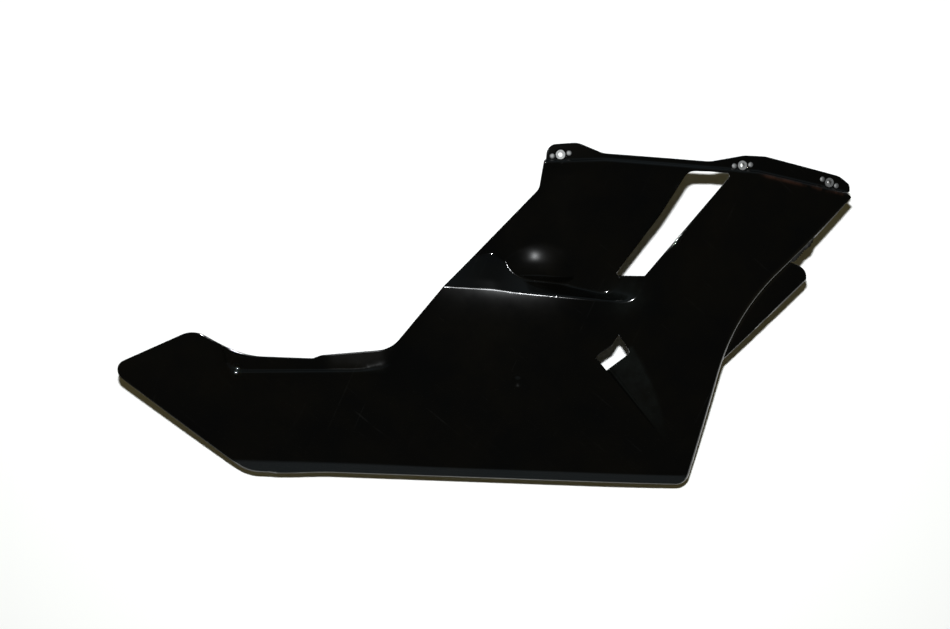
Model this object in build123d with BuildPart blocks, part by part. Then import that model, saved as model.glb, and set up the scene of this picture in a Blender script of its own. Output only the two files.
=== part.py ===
from build123d import *
import os
from math import cos, radians, sin, sqrt, tan

# Frame: millimetres, +X to the front of the motorcycle, +Z up, outer face towards -Y.
# The origin is the middle fastener, on the outer face of the top flange.

# Moulding
WALL = 3.0
JOGGLE = 4.0
RETURN_BACK_Y = 118.0

# Crowned skin: an arc in the upright section, bent along an arc in plan towards the front
CROWN_RADIUS = 1000.0
CROWN_VERTEX_Z = 59.0
PLAN_RADIUS = 1000.0
PLAN_START_X = -160.0

# Limits that lie outside the finished outline
TOP_LIMIT_Z = 40.0
LOW_LIMIT_Z = -420.0
REAR_LIMIT_X = -720.0
FRONT_LIMIT_X = 200.0
OUTER_LIMIT_Y = -80.0
INNER_LIMIT_Y = 220.0
PLAN_SWEEP = 24.0
MARGIN = 60.0
HALF_SPACE = 1200.0
TOUCH = 0.01
SLOPE_STEP = 0.05

# Outline of the trimmed edges, each point with its corner radius
OUTLINE = [
    ((-689.6, -246.8), 12.0),
    ((-593.8, -200.8), 28.0),
    ((-540.9, -228.2), 100.0),
    ((-463.0, -228.2), 4.0),
    ((-453.0, -224.2), 4.0),
    ((-376.6, -214.9), 35.0),
    ((-320.0, -142.6), 10.0),
    ((-220.8, -34.2), 12.0),
    ((-216.9, -4.0), 1.0),
    ((-214.7, -2.0), 1.0),
    ((-213.6, 13.6), 11.0),
    ((-181.0, 17.0), 22.0),
    ((-153.0, 6.4), 25.0),
    ((-36.0, 2.4), 40.0),
    ((2.0, 10.9), 25.0),
    ((25.0, 10.9), 20.0),
    ((111.0, -6.0), 22.0),
    ((123.4, -14.5), 6.0),
    ((124.0, -22.0), 1.5),
    ((120.6, -24.6), 0.8),
    ((125.8, -28.6), 1.5),
]
WING_ROOT = (62.5, -102.6)
WING_TIP = (81.6, -109.7)
WING_TIP_RADIUS = 13.0
WING_TIP_DROP = 30.0
NOSE_SLOPE = 0.7446
NOSE_CORNER_RADIUS = 40.0

# Front edge: a stepped wing flange above, an upright return below, blended by an arc
FOLD_CORNER = (0.9, -163.8)
WING_ANGLE = 46.0
WING_REACH = 29.0
WING_STEP = 14.0
FRONT_LEAN = 11.55
FRONT_BLEND = 230.0
FOLD_RADIUS = 7.0

# Underside: a facet below the skin, then a return that runs inwards
BOTTOM_Z = -358.0
BOTTOM_SAG = 3.3
SAG_START_X = -440.0
SAG_END_X = -505.0
BOTTOM_CORNER_RADIUS = 15.0
CREASE_Z = -347.0
FACET_RUN = 10.0
FACET_DROP = 11.0
RETURN_REAR_X = -500.0
RETURN_END_RISE = 20.0
BARE_BEHIND_WING = 40.0

# Recessed upper panel: a sloped floor, a ledge below it and a slanted wall beside it
FLUSH_Z = -6.0
LEDGE_REAR = (-320.0, -143.6)
LEDGE_FRONT = (-139.0, -151.9)
RECESS_DEPTH = 24.0
RECESS_WALL_POINTS = [(-101.8, -0.6, -123.4), (-139.0, 27.0, -150.0), (-129.5, 21.5, -133.0)]
RECESS_CORNER_RADIUS = 12.0
SHOULDER_RADIUS = 16.0
COVE_RADIUS = 6.0

# Dome on the recessed floor
DOME_X = -216.2
DOME_LEDGE_GAP = 14.0
DOME_LENGTH = 88.0
DOME_WIDTH = 58.0
DOME_HEIGHT = 17.0
DOME_BASE_RADIUS = 6.0

# Vent slot, inlet hole and inlet ramp
VENT = [
    ((-133.4, -124.4), 2.0),
    ((-88.0, -58.0), 150.0),
    ((-60.0, -9.2), 13.0),
    ((-36.0, -8.6), 30.0),
    ((-11.6, -10.0), 2.5),
    ((-102.0, -124.4), 2.0),
]
INLET = [(-126.8, -188.4), (-113.0, -209.3), (-137.6, -230.1), (-151.1, -215.1), (-134.1, -201.8)]
INLET_CORNER_RADIUS = 1.5
RAMP_DEEP = (-136.9, -230.4)
RAMP_SIDE = (-112.6, -209.3)
RAMP_TIP = (-69.9, -304.8)
RAMP_DEPTH = 10.0
RAMP_OVERRUN = 7.0
RAMP_SPREAD = 40.0

# Joggle lines: the skin steps inwards above these
TOP_JOGGLE = [(-240.0, -7.2), (-150.0, -1.9), (18.0, -8.0), (150.0, -30.4)]
TOP_JOGGLE_RADIUS = 60.0
REAR_JOGGLE = [(-570.0, -195.0), (-557.0, -247.3), (-374.0, -240.0), (-348.0, -180.0)]
REAR_JOGGLE_RADIUS = 20.0

# Quarter-turn receptacles on the top flange, rear to front: place and roll along the flange
RECEPTACLES = [
    ((-199.1, 3.3), 12.0),
    ((0.0, 0.0), 7.0),
    ((99.6, -13.5), -20.0),
]
BORE_DIAMETER = 5.0
HUB_DIAMETER = 10.0
HUB_CLEARANCE = 0.3
HUB_PROUD = 0.6
PLATE_LENGTH = 28.0
PLATE_WIDTH = 13.0
PLATE_THICKNESS = 1.2
PLATE_SEAT_GAP = 0.16
COLLAR_DIAMETER = 8.0
COLLAR_LENGTH = 3.0
HOLE_REACH = 12.0


def crown_depth(z, inset=0.0):
    """How far the upright section of the skin lies behind its outermost line."""
    return CROWN_RADIUS - sqrt((CROWN_RADIUS - inset) ** 2 - (CROWN_VERTEX_Z - z) ** 2)


def bent(depth, x):
    """Depth of a point of the upright section once it is carried along the plan arc."""
    reach = PLAN_RADIUS - depth
    return PLAN_RADIUS - sqrt(reach**2 - max(0.0, x - PLAN_START_X) ** 2)


SKIN_FRONT_Y = -bent(crown_depth(0.0, JOGGLE), 0.0)
PLAN_AXIS = Axis((PLAN_START_X, SKIN_FRONT_Y + PLAN_RADIUS, 0), (0, 0, 1))
SECTION_PLANE = Plane.YZ.offset(PLAN_START_X)


def section_y(z, inset=0.0):
    """Y of the skin in the straight rear part."""
    return SKIN_FRONT_Y + crown_depth(z, inset)


def skin_y(x, z, inset=0.0):
    """Y of the crowned skin anywhere."""
    return SKIN_FRONT_Y + bent(crown_depth(z, inset), x)


LEDGE_SLOPE = (LEDGE_FRONT[1] - LEDGE_REAR[1]) / (LEDGE_FRONT[0] - LEDGE_REAR[0])
LEDGE_MID_Z = (LEDGE_REAR[1] + LEDGE_FRONT[1]) / 2
LEDGE_DOME_Z = LEDGE_REAR[1] + LEDGE_SLOPE * (DOME_X - LEDGE_REAR[0])
FLOOR_SLOPE = (section_y(LEDGE_MID_Z) + RECESS_DEPTH - section_y(FLUSH_Z)) / (FLUSH_Z - LEDGE_MID_Z)


def floor_y(z, inset=0.0):
    """Y of the flat recessed floor."""
    return section_y(FLUSH_Z) + FLOOR_SLOPE * (FLUSH_Z - z) + inset * sqrt(1 + FLOOR_SLOPE**2)


def front_x(z, inset=0.0):
    """X of the lower front edge at a height."""
    rise = z - FOLD_CORNER[1]
    return FOLD_CORNER[0] + rise * tan(radians(FRONT_LEAN)) - inset / cos(radians(FRONT_LEAN))


def midpoint_touches(edges, test):
    """Edges whose middle passes the test."""
    return ShapeList([edge for edge in edges if test(edge @ 0.5)])


def swept_section(points, arc_middle=None):
    """Solid of an upright section: straight at the rear, bent along the plan arc at the front."""
    with BuildPart() as body:
        with BuildSketch(SECTION_PLANE) as section:
            with BuildLine():
                if arc_middle:
                    ThreePointArc(points[0], arc_middle, points[1])
                    Polyline(*points[1:], points[0])
                else:
                    Polyline(*points, close=True)
            make_face()
        extrude(amount=REAR_LIMIT_X - PLAN_START_X)
        revolve(section.sketch, axis=PLAN_AXIS, revolution_arc=PLAN_SWEEP)
    return body.part


def crown_body(inset):
    """Everything behind the crowned skin."""
    heights = (TOP_LIMIT_Z, (TOP_LIMIT_Z + LOW_LIMIT_Z) / 2, LOW_LIMIT_Z)
    top, middle, low = [(section_y(z, inset), z) for z in heights]
    return swept_section([top, low, (INNER_LIMIT_Y, LOW_LIMIT_Z), (INNER_LIMIT_Y, TOP_LIMIT_Z)], middle)


def facet_cutter(inset):
    """Everything below the facet along the bottom edge."""
    length = sqrt(FACET_RUN**2 + FACET_DROP**2)
    along = Vector(FACET_RUN, -FACET_DROP) / length
    across = Vector(FACET_DROP, FACET_RUN) / length
    crease = Vector(section_y(CREASE_Z), CREASE_Z) + across * inset
    start = crease - along * MARGIN
    end = crease + along * 2 * MARGIN
    floor = LOW_LIMIT_Z - MARGIN
    return swept_section([(start.X, start.Y), (end.X, end.Y), (end.X, floor), (start.X, floor)])


def wing_meets_front(reach, inset):
    """Where a line beside the wing's fold meets the lower front edge, both set in."""
    angle = radians(WING_ANGLE)
    lean = radians(FRONT_LEAN)
    shift = reach - inset + inset * sin(angle) / cos(lean)
    z = FOLD_CORNER[1] + shift / (tan(lean) * sin(angle) - cos(angle))
    return Vector(front_x(z, inset), z)


def ahead_of(reach, radius, inset):
    """Prism ahead of a line beside the wing's fold and of the lower front edge."""
    angle = radians(WING_ANGLE)
    corner = wing_meets_front(reach, inset)
    high = corner + Vector(cos(angle), sin(angle)) * (FRONT_LIMIT_X - REAR_LIMIT_X) / 2
    low = LOW_LIMIT_Z - MARGIN
    foot = Vector(front_x(low, inset), low)
    with BuildPart() as prism:
        with BuildSketch(Plane.XZ):
            with BuildLine():
                if radius:
                    FilletPolyline(high, corner, foot, radius=radius)
                else:
                    Polyline(high, corner, foot)
                Polyline(foot, (high.X, low), high)
            make_face()
        extrude(amount=INNER_LIMIT_Y + MARGIN, both=True)
    return prism.part


def front_cutter(inset):
    """Everything ahead of the fold, but for the wing flange that lies a step behind the skin."""
    step = crown_body(WING_STEP + inset)
    with BuildPart() as cutter:
        add(ahead_of(0.0, FRONT_BLEND + inset, inset))
        add(step, mode=Mode.SUBTRACT)
        add(ahead_of(WING_REACH, 0.0, inset))
    return cutter.part


def bottom_cutter(inset):
    """Everything below the underside, with the rounded corner at the front."""
    bottom = BOTTOM_Z + inset
    radius = BOTTOM_CORNER_RADIUS - inset
    lean = radians(FRONT_LEAN)
    reach = radius * tan((radians(90) - lean) / 2)
    corner_x = front_x(bottom, inset)
    on_front = (corner_x + reach * sin(lean), bottom + reach * cos(lean))
    on_bottom = (corner_x - reach, bottom)
    low = LOW_LIMIT_Z - MARGIN
    with BuildPart() as cutter:
        with BuildSketch(Plane.XZ):
            with BuildLine():
                TangentArc(on_bottom, on_front, tangent=(1, 0))
                Polyline(
                    on_front,
                    (FRONT_LIMIT_X, on_front[1]),
                    (FRONT_LIMIT_X, low),
                    (REAR_LIMIT_X - MARGIN, low),
                    (REAR_LIMIT_X - MARGIN, bottom - BOTTOM_SAG),
                    (SAG_END_X, bottom - BOTTOM_SAG),
                    (SAG_START_X, bottom),
                    on_bottom,
                )
            make_face()
        extrude(amount=INNER_LIMIT_Y + MARGIN, both=True)
    return cutter.part


def recess_cutter(inset):
    """The space in front of the recessed floor, above the ledge and behind its slanted wall."""
    a, b, c = [Vector(point) for point in RECESS_WALL_POINTS]
    normal = (b - a).cross(c - a).normalized()
    if normal.Y < 0:
        normal = -normal
    wall_plane = Plane(origin=a + normal * inset, z_dir=normal)
    low = LEDGE_MID_Z - MARGIN
    slant = sqrt(1 + LEDGE_SLOPE**2)

    def ledge_z(x):
        return LEDGE_REAR[1] + LEDGE_SLOPE * (x - LEDGE_REAR[0]) - inset * slant

    def on_ledge(p):
        return abs(p.Z - ledge_z(p.X)) < TOUCH

    def on_wall(p):
        return abs(wall_plane.to_local_coords(p).Z) < TOUCH

    with BuildPart() as cutter:
        with BuildSketch(Plane.YZ.offset(REAR_LIMIT_X)):
            with BuildLine():
                Polyline(
                    (OUTER_LIMIT_Y, TOP_LIMIT_Z),
                    (floor_y(TOP_LIMIT_Z, inset), TOP_LIMIT_Z),
                    (floor_y(low, inset), low),
                    (OUTER_LIMIT_Y, low),
                    close=True,
                )
            make_face()
        extrude(amount=FRONT_LIMIT_X - REAR_LIMIT_X)
        with BuildSketch(Plane.XZ):
            with BuildLine():
                Polyline(
                    (REAR_LIMIT_X - MARGIN, ledge_z(REAR_LIMIT_X - MARGIN)),
                    (FRONT_LIMIT_X, ledge_z(FRONT_LIMIT_X)),
                    (FRONT_LIMIT_X, TOP_LIMIT_Z + MARGIN),
                    (REAR_LIMIT_X - MARGIN, TOP_LIMIT_Z + MARGIN),
                    close=True,
                )
            make_face()
        extrude(amount=INNER_LIMIT_Y, both=True, mode=Mode.INTERSECT)
        with BuildSketch(wall_plane):
            Rectangle(HALF_SPACE, HALF_SPACE)
        extrude(amount=HALF_SPACE / 2, mode=Mode.SUBTRACT)
        fillet(
            midpoint_touches(cutter.edges(), lambda p: on_ledge(p) and on_wall(p)),
            RECESS_CORNER_RADIUS + inset,
        )
        cove = midpoint_touches(
            cutter.edges(),
            lambda p: abs(p.Y - floor_y(p.Z, inset)) < TOUCH and p.Z < FLUSH_Z and p.X > REAR_LIMIT_X + 1,
        )
        fillet(cove, COVE_RADIUS + inset)
    return cutter.part


def dome(inset):
    """Half of a turned lens that stands on the recessed floor."""
    rise, half_length, half_width = DOME_HEIGHT, DOME_LENGTH / 2, DOME_WIDTH / 2
    sink = (half_width**2 - rise**2) / (2 * rise)
    arc_radius = (half_length**2 + rise**2) / (2 * rise) - inset
    crest = rise + sink - inset
    half_chord = sqrt(arc_radius**2 - (arc_radius - crest) ** 2)
    slant = sqrt(1 + FLOOR_SLOPE**2)
    outward = Vector(0, -1, -FLOOR_SLOPE) / slant
    middle_z = LEDGE_DOME_Z + DOME_LEDGE_GAP + half_width / slant
    centre = Vector(DOME_X, floor_y(middle_z), middle_z) - outward * sink
    base = Plane(origin=centre, x_dir=(1, 0, 0), z_dir=outward)
    with BuildPart() as lens:
        with BuildSketch(base):
            with BuildLine():
                ThreePointArc((-half_chord, 0), (0, crest), (half_chord, 0))
                Line((half_chord, 0), (-half_chord, 0))
            make_face()
        revolve(axis=Axis(base.origin, base.x_dir), revolution_arc=180)
    return lens.part


def ramp_cutter(inset):
    """Wedge that falls from the skin to the inlet hole, with one sheer side."""
    deep = Vector(RAMP_DEEP[0], skin_y(*RAMP_DEEP) + RAMP_DEPTH, RAMP_DEEP[1])
    side = Vector(RAMP_SIDE[0], skin_y(*RAMP_SIDE), RAMP_SIDE[1])
    tip = Vector(RAMP_TIP[0], skin_y(*RAMP_TIP), RAMP_TIP[1])
    normal = (side - deep).cross(tip - deep).normalized()
    if normal.Y < 0:
        normal = -normal
    edge = Vector(tip.X - deep.X, tip.Z - deep.Z).normalized()
    left = Vector(edge.Y, -edge.X)
    top = Vector(side.X - deep.X, side.Z - deep.Z).normalized()
    up = Vector(-top.Y, top.X)
    deep_end = Vector(deep.X, deep.Z) + left * inset + up * RAMP_OVERRUN
    tip_end = Vector(tip.X, tip.Z) + left * inset + edge * inset
    side_end = Vector(side.X, side.Z) + up * RAMP_OVERRUN + top * RAMP_SPREAD
    with BuildPart() as cutter:
        with BuildSketch(Plane.XZ):
            with BuildLine():
                Polyline(deep_end, tip_end, tip_end + top * RAMP_SPREAD, side_end, close=True)
            make_face()
        extrude(amount=INNER_LIMIT_Y, both=True)
        with BuildSketch(Plane(origin=deep + normal * inset, z_dir=normal)):
            Rectangle(HALF_SPACE, HALF_SPACE)
        extrude(amount=HALF_SPACE / 2, mode=Mode.SUBTRACT)
    return cutter.part


def joggle_cutter(line, radius, closing, inset):
    """The layer of skin that is left out where the flange steps inwards."""
    stepped = crown_body(JOGGLE + inset)
    with BuildPart() as cutter:
        with BuildSketch(Plane.XZ):
            with BuildLine():
                FilletPolyline(*line, radius=radius)
                Polyline(line[-1], *closing, line[0])
            make_face()
            if inset:
                offset(amount=inset, kind=Kind.INTERSECTION)
        extrude(amount=-OUTER_LIMIT_Y, both=True)
        add(stepped, mode=Mode.SUBTRACT)
    return cutter.part


def slot_prism(points, radii):
    """Straight cut through the moulding along Y."""
    with BuildPart() as cutter:
        with BuildSketch(Plane.XZ):
            with BuildLine():
                FilletPolyline(*points, radius=radii, close=True)
            make_face()
        extrude(amount=INNER_LIMIT_Y, both=True)
    return cutter.part


def moulded_form(inset):
    """Solid filling of the moulding, its face set in from the outer skin by inset."""
    body = crown_body(inset)
    front = front_cutter(inset)
    bottom = bottom_cutter(inset)
    facet = facet_cutter(inset)
    recess = recess_cutter(inset)
    vent = slot_prism([point for point, _ in VENT], [radius for _, radius in VENT])
    bump = dome(inset)
    ramp = ramp_cutter(inset)
    top_closing = [(TOP_JOGGLE[-1][0], TOP_LIMIT_Z + MARGIN), (TOP_JOGGLE[0][0], TOP_LIMIT_Z + MARGIN)]
    top_step = joggle_cutter(TOP_JOGGLE, TOP_JOGGLE_RADIUS, top_closing, inset)
    rear_step = joggle_cutter(REAR_JOGGLE, REAR_JOGGLE_RADIUS, [], inset)

    def on_skin(p):
        inside = LOW_LIMIT_Z + 1 < p.Z < TOP_LIMIT_Z - 1 and abs(p.X - PLAN_START_X) > TOUCH
        return inside and abs(p.Y - skin_y(p.X, p.Z, inset)) < TOUCH

    with BuildPart() as form:
        add(body)
        add(front, mode=Mode.SUBTRACT)
        fold = midpoint_touches(form.edges(), lambda p: on_skin(p) and front.distance_to(p) < TOUCH)
        fillet(fold, FOLD_RADIUS - inset)
        add(bottom, mode=Mode.SUBTRACT)
        add(facet, mode=Mode.SUBTRACT)
        add(recess, mode=Mode.SUBTRACT)
        ridge = midpoint_touches(form.edges(), lambda p: on_skin(p) and recess.distance_to(p) < TOUCH)
        fillet(ridge, SHOULDER_RADIUS - inset)
        add(vent, mode=Mode.SUBTRACT)
        add(bump)
        rim = midpoint_touches(
            form.edges(),
            lambda p: bump.distance_to(p) < TOUCH and abs(p.Y - floor_y(p.Z, inset)) < TOUCH,
        )
        fillet(rim, DOME_BASE_RADIUS + inset)
        add(ramp, mode=Mode.SUBTRACT)
        add(top_step, mode=Mode.SUBTRACT)
        add(rear_step, mode=Mode.SUBTRACT)
    return form.part


def bare_edges():
    """Filling of the parts of the moulding whose edge has no return."""
    body = crown_body(WALL)
    facet = facet_cutter(WALL)
    along = (Vector(*WING_TIP) - Vector(*WING_ROOT)).normalized()
    start = Vector(*WING_ROOT) - along * BARE_BEHIND_WING
    end = Vector(*WING_ROOT) + along * 2 * MARGIN
    above = TOP_JOGGLE[-1][1] - 2 * WALL
    with BuildPart() as filling:
        with BuildSketch(Plane.XZ):
            with BuildLine():
                Polyline(start, end, (end.X, above), (start.X, above), close=True)
            make_face()
            with BuildLine():
                Polyline(
                    (RETURN_REAR_X, CREASE_Z + RETURN_END_RISE),
                    (RETURN_REAR_X, LOW_LIMIT_Z),
                    (REAR_LIMIT_X, LOW_LIMIT_Z),
                    (REAR_LIMIT_X, CREASE_Z + RETURN_END_RISE),
                    close=True,
                )
            make_face()
        extrude(amount=INNER_LIMIT_Y, both=True)
        add(body, mode=Mode.INTERSECT)
        add(facet, mode=Mode.SUBTRACT)
    return filling.part


def flange_plane(place, roll):
    """Plane on the outer face of the joggled flange, its normal pointing outwards."""
    x, z = place
    step = SLOPE_STEP
    slope_x = (skin_y(x + step, z, JOGGLE) - skin_y(x - step, z, JOGGLE)) / (2 * step)
    slope_z = (skin_y(x, z + step, JOGGLE) - skin_y(x, z - step, JOGGLE)) / (2 * step)
    level = Plane((x, skin_y(x, z, JOGGLE), z), x_dir=(1, slope_x, 0), z_dir=(slope_x, -1, slope_z))
    along = level.x_dir * cos(radians(roll)) + level.y_dir * sin(radians(roll))
    return Plane(level.origin, x_dir=along, z_dir=level.z_dir)


FLANGE_PLANES = [flange_plane(place, roll) for place, roll in RECEPTACLES]
HOLE_DIAMETER = HUB_DIAMETER + 2 * HUB_CLEARANCE
PLATE_FRONT = WALL + PLATE_SEAT_GAP
PLATE_BACK = PLATE_FRONT + PLATE_THICKNESS

os.makedirs("parts", exist_ok=True)

# Moulded shell: the outer form trimmed to its outline, less the inner form
outer = moulded_form(0.0)
inner = moulded_form(WALL)
bare = bare_edges()
inlet = slot_prism(INLET, INLET_CORNER_RADIUS)
nose_low_x = OUTLINE[0][0][0] + (OUTLINE[0][0][1] - LOW_LIMIT_Z) / NOSE_SLOPE
corners = [point for point, _ in OUTLINE] + [
    WING_ROOT,
    WING_TIP,
    (WING_TIP[0], WING_TIP[1] - WING_TIP_DROP),
    (FRONT_LIMIT_X, WING_TIP[1] - WING_TIP_DROP),
    (FRONT_LIMIT_X, LOW_LIMIT_Z),
    (nose_low_x, LOW_LIMIT_Z),
]
corner_radii = [radius for _, radius in OUTLINE] + [0, WING_TIP_RADIUS, 0, 0, 0, 0]

with BuildPart() as shell:
    add(outer)
    with BuildSketch(Plane.XZ.offset(-RETURN_BACK_Y)):
        with BuildLine():
            FilletPolyline(*corners, radius=corner_radii, close=True)
        make_face()
    extrude(amount=RETURN_BACK_Y - OUTER_LIMIT_Y, mode=Mode.INTERSECT)
    nose_corner = (nose_low_x - (BOTTOM_Z - BOTTOM_SAG - LOW_LIMIT_Z) / NOSE_SLOPE, BOTTOM_Z - BOTTOM_SAG)
    across = shell.edges().filter_by(Axis.Y)
    fillet(across.sort_by_distance((nose_corner[0], RETURN_BACK_Y, nose_corner[1]))[0], NOSE_CORNER_RADIUS)
    add(inner, mode=Mode.SUBTRACT)
    add(bare, mode=Mode.SUBTRACT)
    add(inlet, mode=Mode.SUBTRACT)
    for plane in FLANGE_PLANES:
        with BuildSketch(plane):
            Circle(HOLE_DIAMETER / 2)
        extrude(amount=HOLE_REACH, both=True, mode=Mode.SUBTRACT)
shell.part.label = "belly_pan_shell"
export_step(shell.part, "parts/belly_pan_shell.step")

# Receptacles: a plate seated behind each flange hole, its hub seen through the hole
with BuildPart() as receptacles:
    for plane in FLANGE_PLANES:
        with BuildSketch(plane.offset(-PLATE_BACK)):
            SlotOverall(PLATE_LENGTH, PLATE_WIDTH)
        extrude(amount=PLATE_THICKNESS)
        with BuildSketch(plane.offset(-PLATE_BACK)):
            Circle(HUB_DIAMETER / 2)
        extrude(amount=PLATE_BACK + HUB_PROUD)
        with BuildSketch(plane.offset(-PLATE_BACK)):
            Circle(COLLAR_DIAMETER / 2)
        extrude(amount=-COLLAR_LENGTH)
        with BuildSketch(plane):
            Circle(BORE_DIAMETER / 2)
        extrude(amount=HOLE_REACH, both=True, mode=Mode.SUBTRACT)
receptacles.part.label = "receptacles"
export_step(receptacles.part, "parts/receptacles.step")
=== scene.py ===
import math
import bpy
import numpy as np
from mathutils import Matrix, Vector, geometry


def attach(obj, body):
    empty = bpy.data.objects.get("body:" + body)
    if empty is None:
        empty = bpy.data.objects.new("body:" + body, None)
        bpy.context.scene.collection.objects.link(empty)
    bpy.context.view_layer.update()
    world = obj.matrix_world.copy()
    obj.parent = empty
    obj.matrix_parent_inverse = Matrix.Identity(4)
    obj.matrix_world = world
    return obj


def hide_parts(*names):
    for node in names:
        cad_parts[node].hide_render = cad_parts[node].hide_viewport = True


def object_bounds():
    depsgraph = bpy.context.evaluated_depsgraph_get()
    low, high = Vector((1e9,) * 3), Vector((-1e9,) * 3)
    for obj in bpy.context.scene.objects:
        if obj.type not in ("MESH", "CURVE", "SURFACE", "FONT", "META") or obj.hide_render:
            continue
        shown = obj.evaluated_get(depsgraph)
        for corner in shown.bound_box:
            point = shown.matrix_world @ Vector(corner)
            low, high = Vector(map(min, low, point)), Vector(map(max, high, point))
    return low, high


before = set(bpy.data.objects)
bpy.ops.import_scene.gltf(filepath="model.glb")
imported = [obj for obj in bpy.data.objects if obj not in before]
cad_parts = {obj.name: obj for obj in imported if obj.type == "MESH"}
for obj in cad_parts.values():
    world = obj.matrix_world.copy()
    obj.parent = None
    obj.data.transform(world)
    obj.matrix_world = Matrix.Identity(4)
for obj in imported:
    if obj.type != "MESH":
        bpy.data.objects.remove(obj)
cad_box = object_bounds()
MM = 0.001

# Form of the moulding, in millimetres. Places are (X, Z), or (X, Y, Z) where there are three values,
# and a number beside a place is the radius of its corner.
WALL, JOGGLE, BACK_Y = 3.0, 4.0, 117.8
CROWN_R, CROWN_Z = 1000.0, 59.0
PLAN_R, PLAN_X = 1000.0, -160.0
OUTLINE = [
    ((-689.6, -246.8), 12.0), ((-593.8, -200.8), 28.0), ((-540.9, -228.2), 100.0), ((-463.0, -228.2), 4.0),
    ((-453.0, -224.2), 4.0), ((-376.6, -214.9), 35.0), ((-320.0, -142.6), 10.0), ((-220.8, -34.2), 12.0),
    ((-216.9, -4.0), 1.0), ((-214.7, -2.0), 1.0), ((-213.6, 13.6), 11.0), ((-181.0, 17.0), 22.0),
    ((-153.0, 6.4), 25.0), ((-36.0, 2.4), 40.0), ((2.0, 10.9), 25.0), ((25.0, 10.9), 20.0),
    ((111.0, -6.0), 22.0), ((123.4, -14.5), 6.0), ((124.0, -22.0), 1.5), ((120.6, -24.6), 0.8),
    ((125.8, -28.6), 1.5),
]
WING_ROOT, WING_TIP, WING_TIP_R = (62.5, -102.6), (81.6, -109.7), 13.0
NOSE_SLOPE, NOSE_CORNER_R = 0.7446, 40.0
FOLD_X, FOLD_Z = 0.9, -163.8
WING_ANGLE, WING_REACH, WING_STEP, LEAN = math.radians(46.0), 29.0, 14.0, math.radians(11.55)
FRONT_BLEND, FOLD_R = 230.0, 7.0
BOTTOM_Z, SAG, SAG_START, SAG_END, CORNER_R = -358.0, 3.3, -440.0, -505.0, 15.0
CREASE_Z, FACET_RUN, FACET_DROP, RETURN_REAR_X = -347.0, 10.0, 11.0, -500.0
FLUSH_Z, LEDGE_REAR, LEDGE_FRONT, RECESS_DEPTH = -6.0, (-320.0, -143.6), (-139.0, -151.9), 24.0
RECESS_WALL = np.array([(-101.8, -0.6, -123.4), (-139.0, 27.0, -150.0), (-129.5, 21.5, -133.0)])
RECESS_CORNER_R, SHOULDER_R, COVE_R = 12.0, 16.0, 3.0
ROLL_RUN, ROLL_DEPTH, ROLL_X, ROLL_SPAN, RIDGE_R = 40.0, 3.75, -254.0, 100.0, 3.0
SWEEP_LOW, SWEEP_X = math.radians(10.0), -264.0
SWEEP_TURNS = [(math.radians(30.0), -270.0, 50.0), (math.radians(38.0), -240.0, 120.0)]
SWEEP_REAR, SWEEP_REAR_LENGTH = math.radians(16.0), 55.0
DOME_CREST, DOME_PROUD, DOME_HALF, DOME_PLAN = (-217.0, -125.0), 7.4, (49.0, 17.0, 12.0), 2.6
DOME_DROP, DOME_FALL = 8.7, 18.1
DOME_BLEND, DOME_BLEND_SOFT = 3.0, 30.0
DOME_SOFT_SHARE, DOME_SOFT_RUN, DOME_SOFT_LOW, DOME_SOFT_LOW_RUN = 0.4, (70.0, 60.0), 6.0, 14.0
VENT = [
    ((-133.4, -124.4), 2.0), ((-88.0, -58.0), 150.0), ((-60.0, -9.2), 13.0), ((-36.0, -8.6), 30.0),
    ((-11.6, -10.0), 2.5), ((-102.0, -124.4), 2.0),
]
INLET = [(-126.8, -188.4), (-113.0, -209.3), (-137.6, -230.1), (-151.1, -215.1), (-134.1, -201.8)]
RAMP_DEEP, RAMP_SIDE, RAMP_TIP = (-136.9, -230.4), (-112.6, -209.3), (-69.9, -304.8)
RAMP_DEPTH, RAMP_OVERRUN = 10.0, 7.0
TOP_JOGGLE = [(-240.0, -7.2), (-150.0, -1.9), (18.0, -8.0), (150.0, -30.4)]
REAR_JOGGLE = [(-570.0, -195.0), (-557.0, -247.3), (-374.0, -240.0), (-348.0, -180.0)]
REAR_JOGGLE_R, JOGGLE_DRAFT, RAMP_DRAFT, EDGE_R = 20.0, math.radians(38.0), math.radians(18.0), 1.3
JOGGLE_ROOT_R, JOGGLE_EDGE_R, JOGGLE_LEAST_R = 1.2, 2.0, 0.4
TRAY_COS, TRAY_SOFT = (0.2, 0.37), 0.3
RAMP_R, RAMP_COS = 1.5, 0.3
WING_EDGE_R, WING_JOIN_R, WING_JOIN_LEAST, WING_JOIN_RUN = 2.5, 2.0, 0.01, 8.0
FACET_COS_SKIN, FACET_COS_FRONT = 0.949, 0.673
NO_RETURN, TRIM_RISE, TRIM_RUN, RETURN_RUN = 60.0, 1.0, 5.0, 8.0
WING_FADE, WALL_FADE, FLOOR_FADE = 80.0, 24.0, 16.0
LIP_X, LIP_X_RUN, LIP_ABOVE, LIP_RUN = -114.0, 40.0, 16.0, 18.0
ROLL_OVER, ROLL_ABOVE, ROLL_FADE = 4.0, 70.0, 50.0
LEAST_COS, MOST_COS = -0.95, 0.985
DIMPLE, DIMPLE_PIT, DIMPLE_LIP = (-235.6, -245.5), (1.3, 4.2), (0.35, 7.0, 1.8)
WAVE, WAVE_SLANT = (0.22, 61.0, 1.3, 47.0, 0.4), (0.12, 38.0)
HUB_HOLE_R = 5.3
# Place, axis and long direction of each receptacle
FLANGES = [
    ((-199.1, -13.149, 3.3), (0.0, -0.998435, -0.055924), (0.978148, -0.011627, 0.207586)),
    ((0.0, 0.0, 0.0), (0.160643, -0.985233, -0.059237), (0.980772, 0.152601, 0.121655)),
    ((99.6, 22.456, -13.5), (0.260643, -0.962687, -0.072791), (0.90053, 0.269606, -0.341113)),
]


def unit(v):
    v = np.asarray(v, float)
    return v / np.linalg.norm(v)


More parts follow.
